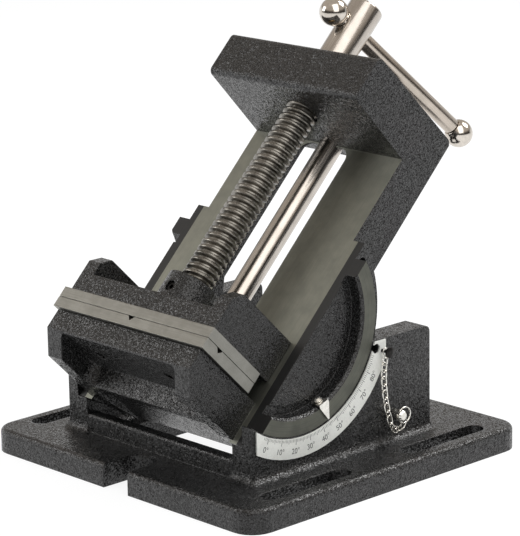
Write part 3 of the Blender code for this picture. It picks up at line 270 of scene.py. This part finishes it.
def polygonData(obj):
    # Centres and normals of a mesh's faces
    count = len(obj.data.polygons)
    centres = np.zeros(count * 3, np.float32)
    normals = np.zeros(count * 3, np.float32)
    obj.data.polygons.foreach_get("center", centres)
    obj.data.polygons.foreach_get("normal", normals)
    return centres.reshape(-1, 3), normals.reshape(-1, 3)


def setMaterials(obj, materials, indices=None):
    obj.data.materials.clear()
    for material in materials:
        obj.data.materials.append(material)
    count = len(obj.data.polygons)
    values = np.zeros(count, np.int32) if indices is None else indices.astype(np.int32)
    obj.data.polygons.foreach_set("material_index", values)


def bareFaces(obj):
    # The bed's bare faces: 1 on the milled rails and 2 on the turned faces of the guide rings
    centres, normals = polygonData(obj)
    local = centres - np.array(pivot)
    height = local @ np.array(upright)
    level = normals @ np.array(upright)
    near, facing = 0.2 * mm, 0.9
    rails = (np.abs(height - railHeight) < near) & (level > facing)
    rings = (np.abs(local[:, 1]) > ringFace - near) & (np.abs(normals[:, 1]) > facing)
    return np.where(rings, 2, np.where(rails, 1, 0))


setMaterials(nodes["base_casting"], [hammeredEnamel])
setMaterials(nodes["movable_jaw"], [hammeredEnamel])
setMaterials(nodes["tilting_bed"], [bedEnamel, milledIron, turnedIron], bareFaces(nodes["tilting_bed"]))
finishes = {
    groundSteel: ["fixed_jaw_plate", "movable_jaw_plate", "keeper_plate"],
    blackSteel: [
        "chain_anchor_screw", "tilt_clamp_washer", "tilt_clamp_screw",
        "fixed_plate_screw_near", "fixed_plate_screw_far", "movable_plate_screw_near",
        "movable_plate_screw_far", "keeper_screw_near", "keeper_screw_far",
        "screw_retainer", "rod_set_screw",
    ],
    brightWire: ["angle_pointer", "pointer_screw", "lock_pin", "screw_head_pin"],
    bronze: ["lead_nut"],
    scalePlate: ["angle_scale"],
}
for material, names in finishes.items():
    for name in names:
        setMaterials(nodes[name], [material])
print("finishes set")


# New pieces

def gridMesh(name, points, material, ring=True, loop=False, smoothDegrees=40):
    # A closed skin over a grid of points, rows by columns. Each row closes on itself if ring,
    # and the last row joins the first if loop. Points that fall together are merged.
    rows, columns = points.shape[:2]
    below = np.arange(rows if loop else rows - 1)
    beside = np.arange(columns if ring else columns - 1)
    i, j = np.meshgrid(below, beside, indexing="ij")
    nextRow, nextColumn = (i + 1) % rows, (j + 1) % columns
    corners = [
        i * columns + j, i * columns + nextColumn,
        nextRow * columns + nextColumn, nextRow * columns + j,
    ]
    faces = np.stack(corners, -1).reshape(-1, 4)
    flat = points.reshape(-1, 3)
    mesh = bpy.data.meshes.new(name)
    mesh.vertices.add(len(flat))
    mesh.vertices.foreach_set("co", flat.astype(np.float32).ravel())
    mesh.loops.add(faces.size)
    mesh.loops.foreach_set("vertex_index", faces.astype(np.int32).ravel())
    mesh.polygons.add(len(faces))
    mesh.polygons.foreach_set("loop_start", np.arange(0, faces.size, 4, dtype=np.int32))
    mesh.update(calc_edges=True)
    shell = bmesh.new()
    shell.from_mesh(mesh)
    bmesh.ops.remove_doubles(shell, verts=shell.verts, dist=0.001 * mm)
    bmesh.ops.recalc_face_normals(shell, faces=shell.faces)
    shell.to_mesh(mesh)
    shell.free()
    mesh.shade_smooth()
    mesh.set_sharp_from_angle(angle=math.radians(smoothDegrees))
    mesh.materials.append(material)
    obj = bpy.data.objects.new(name, mesh)
    bpy.context.scene.collection.objects.link(obj)
    return obj


def lathe(name, profile, centre, axis, material, segments=96, smoothDegrees=40):
    # A turned piece: each profile point is a place along the axis and a radius, carried round it
    direction = Vector(axis).normalized()
    side = direction.orthogonal().normalized()
    other = direction.cross(side)
    turn = np.linspace(0, 2 * math.pi, segments, endpoint=False)
    place, radius = np.array(profile).T
    spokes = np.outer(np.cos(turn), np.array(side)) + np.outer(np.sin(turn), np.array(other))
    points = np.array(centre) + place[:, None, None] * np.array(direction)
    points = points + radius[:, None, None] * spokes[None]
    return gridMesh(name, points, material, smoothDegrees=smoothDegrees)


def roundOff(place, radius, edge, facing, steps=6):
    # The rounded corner at the end of a turned piece, from its side to its flat end
    turn = np.linspace(0, math.pi / 2, steps)
    return list(zip(place + facing * edge * (np.sin(turn) - 1), radius + edge * (np.cos(turn) - 1)))


def drill(obj, holes):
    # Cuts round holes: each is a centre, a direction, a radius and a reach to both sides
    for centre, direction, radius, reach in holes:
        profile = [(-reach, 0), (-reach, radius), (reach, radius), (reach, 0)]
        cutter = lathe("cutter", profile, centre, direction, obj.data.materials[0], segments=64)
        step = obj.modifiers.new("bore", "BOOLEAN")
        step.object, step.operation, step.solver = cutter, "DIFFERENCE", "EXACT"
        cut = bpy.data.meshes.new_from_object(obj.evaluated_get(bpy.context.evaluated_depsgraph_get()))
        obj.modifiers.clear()
        obj.data = cut
        bpy.data.objects.remove(cutter)
    obj.data.set_sharp_from_angle(angle=math.radians(30))


def stand(obj, body, node=None):
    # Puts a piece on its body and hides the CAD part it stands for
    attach(obj, body)
    if node:
        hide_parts(node)


# Lead screw: its thread is a skin whose place along the screw is a point of the trapezoid
# profile plus the pitch times the turn, which winds right-handed, and whose radius is the profile's
screwLook = {
    "radius": 9.95 * mm, "depth": 2.05 * mm, "pitch": 4.2333 * mm, "segments": 72,
    "start": 4.9 * mm, "end": 156.2 * mm, "fade": 0.5,
    "footEnd": -18.3 * mm, "footRadius": 5.9 * mm, "coneLength": 1.2 * mm, "coneRadius": 7.8 * mm,
    "spigotEnd": 173.7 * mm, "spigotRadius": 6.9 * mm,
    "profile": [
        (0.0, -1.0), (0.22, -1.0), (0.27, -0.86), (0.40, -0.12),
        (0.45, 0.0), (0.77, 0.0), (0.82, -0.12), (0.95, -0.86),
    ],
}
screwMiddle = bedPoint(0, 0, screwHeight)


def makeThread(look):
    root, pitch = look["radius"] - look["depth"], look["pitch"]
    start, end = look["start"], look["end"]
    share, height = np.array(look["profile"]).T
    turns = np.arange(-1, int((end - start) / pitch) + 2)
    place = (turns[:, None] + share[None]).ravel() * pitch
    level = np.tile(height, len(turns))
    turn = np.linspace(0, 2 * math.pi, look["segments"] + 1)
    u = start + place[:, None] + pitch * turn[None] / (2 * math.pi)
    # The ends are pressed flat, and their ridge fades out
    fade = np.clip(np.minimum(u - start, end - u) / (pitch * look["fade"]), 0, 1)
    r = root + (level[:, None] + 1) * look["depth"] * fade
    u = np.clip(u, start, end)
    # A last row on the axis closes each end
    u = np.vstack([np.full(len(turn), start), u, np.full(len(turn), end)])
    r = np.vstack([np.zeros(len(turn)), r, np.zeros(len(turn))])
    spokes = np.outer(np.cos(turn), np.array(across)) + np.outer(np.sin(turn), np.array(upright))
    points = np.array(screwMiddle) + u[..., None] * np.array(along) + r[..., None] * spokes[None]
    return gridMesh("leadScrewThread", points, oiledThread, ring=False, smoothDegrees=50)


stand(makeThread(screwLook), "screw", "lead_screw")
footProfile = [
    (screwLook["footEnd"], 0), (screwLook["footEnd"], screwLook["footRadius"]),
    (screwLook["start"] - screwLook["coneLength"], screwLook["footRadius"]),
    (screwLook["start"], screwLook["coneRadius"]), (screwLook["start"], 0),
]
stand(lathe("leadScrewFoot", footProfile, screwMiddle, along, oiledThread), "screw")
spigotProfile = [
    (screwLook["end"], 0), (screwLook["end"], screwLook["spigotRadius"]),
    (screwLook["spigotEnd"], screwLook["spigotRadius"]), (screwLook["spigotEnd"], 0),
]
stand(lathe("leadScrewSpigot", spigotProfile, screwMiddle, along, oiledThread), "screw")
print("lead screw made")


# Head: a round bar end, bored for the handle bar and for its cross pin, over the screw's spigot
headLook = {
    "low": 156.7 * mm, "high": 203.2 * mm, "radius": 10.5 * mm, "edge": 1.5 * mm,
    "socket": 7.3 * mm, "socketDepth": 17.3 * mm, "barPlace": 186.2 * mm, "barBore": 5.3 * mm,
    "pinPlace": 165.2 * mm, "pinBore": 2.3 * mm, "overrun": 3 * mm,
}


def makeHead(look):
    low, high, socketEnd = look["low"], look["high"], look["low"] + look["socketDepth"]
    profile = [(socketEnd, 0), (socketEnd, look["socket"]), (low, look["socket"])]
    profile += roundOff(low, look["radius"], look["edge"], -1)[::-1]
    profile += roundOff(high, look["radius"], look["edge"], 1)
    profile += [(high, 0)]
    head = lathe("screwHead", profile, screwMiddle, along, chromeAlong, segments=128)
    reach = look["radius"] + look["overrun"]
    drill(head, [
        (screwMiddle + along * look["barPlace"], barLine, look["barBore"], reach),
        (screwMiddle + along * look["pinPlace"], along.cross(barLine), look["pinBore"], reach),
    ])
    return head


stand(makeHead(headLook), "screw", "screw_head")


# Handle bar with stepped ends, and balls with a flat and a blind hole that sit on them
handleLook = {
    "upper": 17.3 * mm, "lower": -100.4 * mm, "ball": 8.5 * mm, "flat": 6.5 * mm, "gap": 0.3 * mm,
    "bar": 5 * mm, "spigot": 3 * mm, "spigotLength": 6 * mm, "edge": 0.4 * mm, "ballSteps": 44,
}
barMiddle = bedPoint(headLook["barPlace"], 0, screwHeight)


def makeBar(look):
    low = look["lower"] + look["flat"] + look["gap"]
    high = look["upper"] - look["flat"] - look["gap"]
    tip, thin = look["spigotLength"], look["spigot"]
    profile = [(low - tip, 0), (low - tip, thin), (low, thin)]
    profile += roundOff(low, look["bar"], look["edge"], -1)[::-1]
    profile += roundOff(high, look["bar"], look["edge"], 1)
    profile += [(high, thin), (high + tip, thin), (high + tip, 0)]
    return lathe("handleBar", profile, barMiddle, barLine, chromeBar)


def makeBall(name, look, place, away):
    # A sphere's section from its flat to its far pole, with the hole for the bar's end
    hole, face = look["spigot"] + look["gap"], -look["flat"]
    bottom = face + look["spigotLength"] + look["gap"]
    widest = math.pi - math.acos(look["flat"] / look["ball"])
    turn = np.linspace(widest, 0, look["ballSteps"])
    profile = [(bottom, 0), (bottom, hole), (face, hole)]
    profile += list(zip(look["ball"] * np.cos(turn), look["ball"] * np.sin(turn)))
    return lathe(name, profile, barMiddle + barLine * place, barLine * away, chromeBall)


stand(makeBar(handleLook), "bar", "handle_bar")
upperBall = makeBall("handleBallUpper", handleLook, handleLook["upper"], 1)
stand(upperBall, "bar", "handle_ball_upper")
lowerBall = makeBall("handleBallLower", handleLook, handleLook["lower"], -1)
stand(lowerBall, "bar", "handle_ball_lower")

# Guide rod below the lead screw
rodLook = {"low": -47 * mm, "high": 149.6 * mm, "radius": 7 * mm, "height": -20 * mm, "edge": 0.5 * mm}
rodProfile = [(rodLook["low"], 0)] + roundOff(rodLook["low"], rodLook["radius"], rodLook["edge"], -1)[::-1]
rodProfile += roundOff(rodLook["high"], rodLook["radius"], rodLook["edge"], 1) + [(rodLook["high"], 0)]
guideRod = lathe("guideRod", rodProfile, bedPoint(0, 0, rodLook["height"]), along, chromeAlong)
stand(guideRod, "bed", "guide_rod")
print("head, handle and rod made")


# Chain links and split ring: round wire carried along a closed path that is read off the
# CAD part's own size and heading
chainLook = {"pathSteps": 36, "wireSteps": 12, "ringSteps": 72}


def nodeFrame(name):
    # A small part's centre, its own axes from the longest to the shortest, and its half sizes
    mesh = nodes[name].data
    points = np.zeros(len(mesh.vertices) * 3, np.float32)
    mesh.vertices.foreach_get("co", points)
    points = points.reshape(-1, 3).astype(float)
    axes = np.linalg.eigh(np.cov(points.T))[1].T[::-1]
    local = points @ axes.T
    low, high = local.min(0), local.max(0)
    return ((low + high) / 2) @ axes, axes, (high - low) / 2


def makeWire(name, body, steps):
    # The path is two half circles joined by straights. A round ring has none.
    centre, axes, half = nodeFrame(name)
    wire = half[2]
    straight, bend = max(half[0] - half[1], 0), half[1] - wire
    turn = (np.arange(steps) + 0.5) * 2 * math.pi / steps
    out = np.outer(np.cos(turn), axes[0]) + np.outer(np.sin(turn), axes[1])
    path = centre + out * bend + np.outer(np.sign(np.cos(turn)) * straight, axes[0])
    around = np.linspace(0, 2 * math.pi, chainLook["wireSteps"], endpoint=False)
    spokes = out[:, None] * np.cos(around)[None, :, None] + axes[2] * np.sin(around)[None, :, None]
    points = path[:, None] + spokes * wire
    piece = gridMesh(name.title().replace("_", ""), points, brightWire, loop=True, smoothDegrees=180)
    stand(piece, body, name)


for name in sorted(name for name in nodes if name.startswith("chain_link")):
    makeWire(name, "base", chainLook["pathSteps"])
makeWire("pin_split_ring", "pin", chainLook["ringSteps"])
print("chain made")


# Scale marks: a tick at each degree, longer at fives and tens, and a numeral at each ten
scaleLook = {
    "inner": 61.6 * mm, "short": 1.7 * mm, "middle": 2.5 * mm, "long": 3.4 * mm,
    "thick": 0.36 * mm, "thin": 0.252 * mm, "first": -3, "last": 89, "lastNumeral": 80,
    "zero": -114.35, "numeralRadius": 68.5 * mm, "numeralSize": 4.5 * mm, "proud": 0.03 * mm,
}
scaleCentre = Vector((pivot.x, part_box("angle_scale")[0].y - scaleLook["proud"], pivot.z))


def markAxes(value):
    # The directions out from the tilt pin and round it, at a value on the scale
    turn = math.radians(scaleLook["zero"] + value)
    return Vector((math.cos(turn), 0, math.sin(turn))), Vector((-math.sin(turn), 0, math.cos(turn)))


def makeTicks(look):
    corners = []
    for value in range(look["first"], look["last"] + 1):
        out, side = markAxes(value)
        length = look["long"] if value % 10 == 0 else look["middle"] if value % 5 == 0 else look["short"]
        half = side * (look["thick"] if value % 10 == 0 else look["thin"]) / 2
        inner = scaleCentre + out * look["inner"]
        outer = inner + out * length
        corners += [inner - half, outer - half, outer + half, inner + half]
    faces = np.arange(len(corners)).reshape(-1, 4)
    mesh = bpy.data.meshes.new("scaleTicks")
    mesh.from_pydata([tuple(corner) for corner in corners], [], faces.tolist())
    mesh.materials.append(markInk)
    obj = bpy.data.objects.new("scaleTicks", mesh)
    bpy.context.scene.collection.objects.link(obj)
    return obj


def makeNumeral(value, look):
    # A numeral on the arc, its top towards the tilt pin
    words = bpy.data.curves.new(f"numeral{value}", "FONT")
    words.body = f"{value}°"
    words.size = look["numeralSize"]
    words.align_x = words.align_y = "CENTER"
    holder = bpy.data.objects.new(f"numeralHolder{value}", words)
    bpy.context.scene.collection.objects.link(holder)
    bpy.context.view_layer.update()
    mesh = bpy.data.meshes.new_from_object(holder.evaluated_get(bpy.context.evaluated_depsgraph_get()))
    bpy.data.objects.remove(holder)
    out, side = markAxes(value)
    turned = Matrix((side, -out, -across)).transposed().to_4x4()
    mesh.transform(Matrix.Translation(scaleCentre + out * look["numeralRadius"]) @ turned)
    mesh.materials.clear()
    mesh.materials.append(markInk)
    obj = bpy.data.objects.new(f"scaleNumeral{value}", mesh)
    bpy.context.scene.collection.objects.link(obj)
    return obj


stand(makeTicks(scaleLook), "base")
for value in range(0, scaleLook["lastNumeral"] + 1, 10):
    stand(makeNumeral(value, scaleLook), "base")
print("scale marked")


# Ground and light. The ground and the backdrop are white to the eye and in reflections.
# Above the backdrop the room is dimmer, with a dark band at eye level on the camera's side,
# so that plate shows stripes. A large soft lamp stands high on the right.
stageLook = {
    "white": "#ffffff", "room": "#f1e7dc", "roomStrength": 0.62,
    "bandStrength": 0.06, "bandHeights": (0.12, 0.42),
    "backdropTurn": (0.0, 0.5), "backdropHeights": (0.05, 0.35), "skyLow": 0.30, "skyHigh": 0.55,
    "ground": "#d8d8d8", "groundSeen": "#7c7c7c", "groundGlow": 0.86,
    "groundReach": 3, "groundDrop": 0.1 * mm,
}
rayNames = ("Camera", "Glossy", "Transmission")
cameraFit = {
    "psi": 46.57, "theta": 14.69, "roll": -0.96, "distance": 1633.1 * mm, "focal": 2840.0,
    "aim": (4.04 * mm, -1.53 * mm), "centre": (39 * mm, 110 * mm), "imageHeight": 536, "sensor": 36,
}


def makeGround():
    mesh = bpy.data.meshes.new("ground")
    reach = stageLook["groundReach"]
    corners = [(-reach, -reach, 0), (reach, -reach, 0), (reach, reach, 0), (-reach, reach, 0)]
    mesh.from_pydata(corners, [], [(0, 1, 2, 3)])
    obj = bpy.data.objects.new("ground", mesh)
    obj.location.z = -stageLook["groundDrop"]
    bpy.context.scene.collection.objects.link(obj)
    material, tree, shader = newMaterial("groundWhite")
    setShader(shader, Base_Color=linear(stageLook["ground"]), Roughness=0.9)
    # The eye and reflections get mostly a glow, so the vise's shadow stays but is faint
    matt = addNode(tree, "ShaderNodeBsdfDiffuse", {"Color": linear(stageLook["groundSeen"])})
    glow = addNode(tree, "ShaderNodeEmission", {
        "Color": linear(stageLook["white"]), "Strength": stageLook["groundGlow"],
    })
    both = addNode(tree, "ShaderNodeAddShader", {0: matt, 1: glow})
    camera, glossy, through = [
        addNode(tree, "ShaderNodeLightPath", output=f"Is {ray} Ray") for ray in rayNames
    ]
    seen = addNode(tree, "ShaderNodeMath", {0: camera, 1: glossy}, operation="MAXIMUM")
    seen = addNode(tree, "ShaderNodeMath", {0: seen, 1: through}, operation="MAXIMUM")
    blend = addNode(tree, "ShaderNodeMixShader", {"Fac": seen, 1: shader.outputs["BSDF"], 2: both})
    tree.links.new(blend, tree.nodes["Material Output"].inputs["Surface"])
    mesh.materials.append(material)


def makeRoom():
    look = stageLook
    world = bpy.data.worlds.new("studio")
    bpy.context.scene.world = world
    world.use_nodes = True
    tree = world.node_tree
    tree.nodes.clear()
    direction = addNode(tree, "ShaderNodeTexCoord", output="Generated")
    height = addNode(tree, "ShaderNodeSeparateXYZ", {"Vector": direction}, "Z")
    psi = math.radians(cameraFit["psi"])
    behind = addNode(tree, "ShaderNodeVectorMath", {
        0: direction, 1: (math.cos(psi), math.sin(psi), 0),
    }, "Value", operation="DOT_PRODUCT")
    # How bright the sky and the room are at each height, and where the backdrop stands
    maps = {
        "sky": fromTo(height, (0.0, 1.0), look["skyLow"], look["skyHigh"]),
        "room": fromTo(height, look["bandHeights"], look["bandStrength"], look["roomStrength"]),
        "behind": fromTo(behind, look["backdropTurn"], 0.0, 1.0),
        "below": fromTo(height, look["backdropHeights"], 1.0, 0.0),
    }
    for name, inputs in maps.items():
        maps[name] = addNode(tree, "ShaderNodeMapRange", inputs, "Result", interpolation_type="SMOOTHSTEP")
    backdrop = addNode(tree, "ShaderNodeMath", {0: maps["behind"], 1: maps["below"]}, operation="MULTIPLY")
    light = addNode(tree, "ShaderNodeBackground", {"Color": linear(look["white"]), "Strength": maps["sky"]})
    white = addNode(tree, "ShaderNodeBackground", {"Color": linear(look["white"]), "Strength": 1.0})
    room = addNode(tree, "ShaderNodeBackground", {"Color": linear(look["room"]), "Strength": maps["room"]})
    camera, glossy, through = [
        addNode(tree, "ShaderNodeLightPath", output=f"Is {ray} Ray") for ray in rayNames
    ]
    shiny = addNode(tree, "ShaderNodeMath", {0: glossy, 1: through}, operation="MAXIMUM")
    mirrored = addNode(tree, "ShaderNodeMixShader", {"Fac": backdrop, 1: room, 2: white})
    unseen = addNode(tree, "ShaderNodeMixShader", {"Fac": shiny, 1: light, 2: mirrored})
    final = addNode(tree, "ShaderNodeMixShader", {"Fac": camera, 1: unseen, 2: white})
    addNode(tree, "ShaderNodeOutputWorld", {"Surface": final})


# Each lamp is a place, a size and the brightness of its face
lamps = {
    "softLampRight": {"place": (-0.44, -1.08, 1.23), "size": (1.2, 1.9), "level": 1.7},
    "lampBack": {"place": (1.06, -0.41, 1.25), "size": (0.7, 0.7), "level": 10.0},
    "lampLeft": {"place": (-1.0, 1.15, 0.75), "size": (0.6, 0.7), "level": 5.0},
}
lampAim = Vector((0, 0, 0.12))


def makeLamp(name, place, size, level):
    # A lamp face of that brightness gives out pi times its area times the brightness
    lamp = bpy.data.lights.new(name, "AREA")
    lamp.shape = "RECTANGLE"
    lamp.size, lamp.size_y = size
    lamp.energy = math.pi * size[0] * size[1] * level
    obj = bpy.data.objects.new(name, lamp)
    bpy.context.scene.collection.objects.link(obj)
    obj.location = place
    obj.rotation_euler = (lampAim - Vector(place)).to_track_quat("-Z", "Y").to_euler()
    obj.visible_camera = False


makeGround()
makeRoom()
for name, look in lamps.items():
    makeLamp(name, **look)
print("ground and lights made")


# Camera, fitted to the photo: it looks along psi round the vise and theta down on it
def makeCamera(fit):
    psi, theta, roll = (math.radians(fit[key]) for key in ("psi", "theta", "roll"))
    forward = Vector((math.cos(theta) * math.cos(psi), math.cos(theta) * math.sin(psi), -math.sin(theta)))
    right = Vector((math.sin(psi), -math.cos(psi), 0))
    up = right.cross(forward)
    right, up = (
        right * math.cos(roll) + up * math.sin(roll),
        up * math.cos(roll) - right * math.sin(roll),
    )
    target = Vector((pivot.x + fit["centre"][0], 0, fit["centre"][1]))
    target += right * fit["aim"][0] + up * fit["aim"][1]
    lens = bpy.data.cameras.new("camera")
    camera = bpy.data.objects.new("camera", lens)
    bpy.context.scene.collection.objects.link(camera)
    turned = Matrix((right, up, -forward)).transposed().to_4x4()
    camera.matrix_world = Matrix.Translation(target - forward * fit["distance"]) @ turned
    lens.sensor_width = fit["sensor"]
    lens.lens = fit["sensor"] * fit["focal"] / fit["imageHeight"]
    lens.clip_start, lens.clip_end = 0.1, 20
    bpy.context.scene.camera = camera


makeCamera(cameraFit)
bpy.context.scene.view_settings.view_transform = "Standard"
print("camera placed")
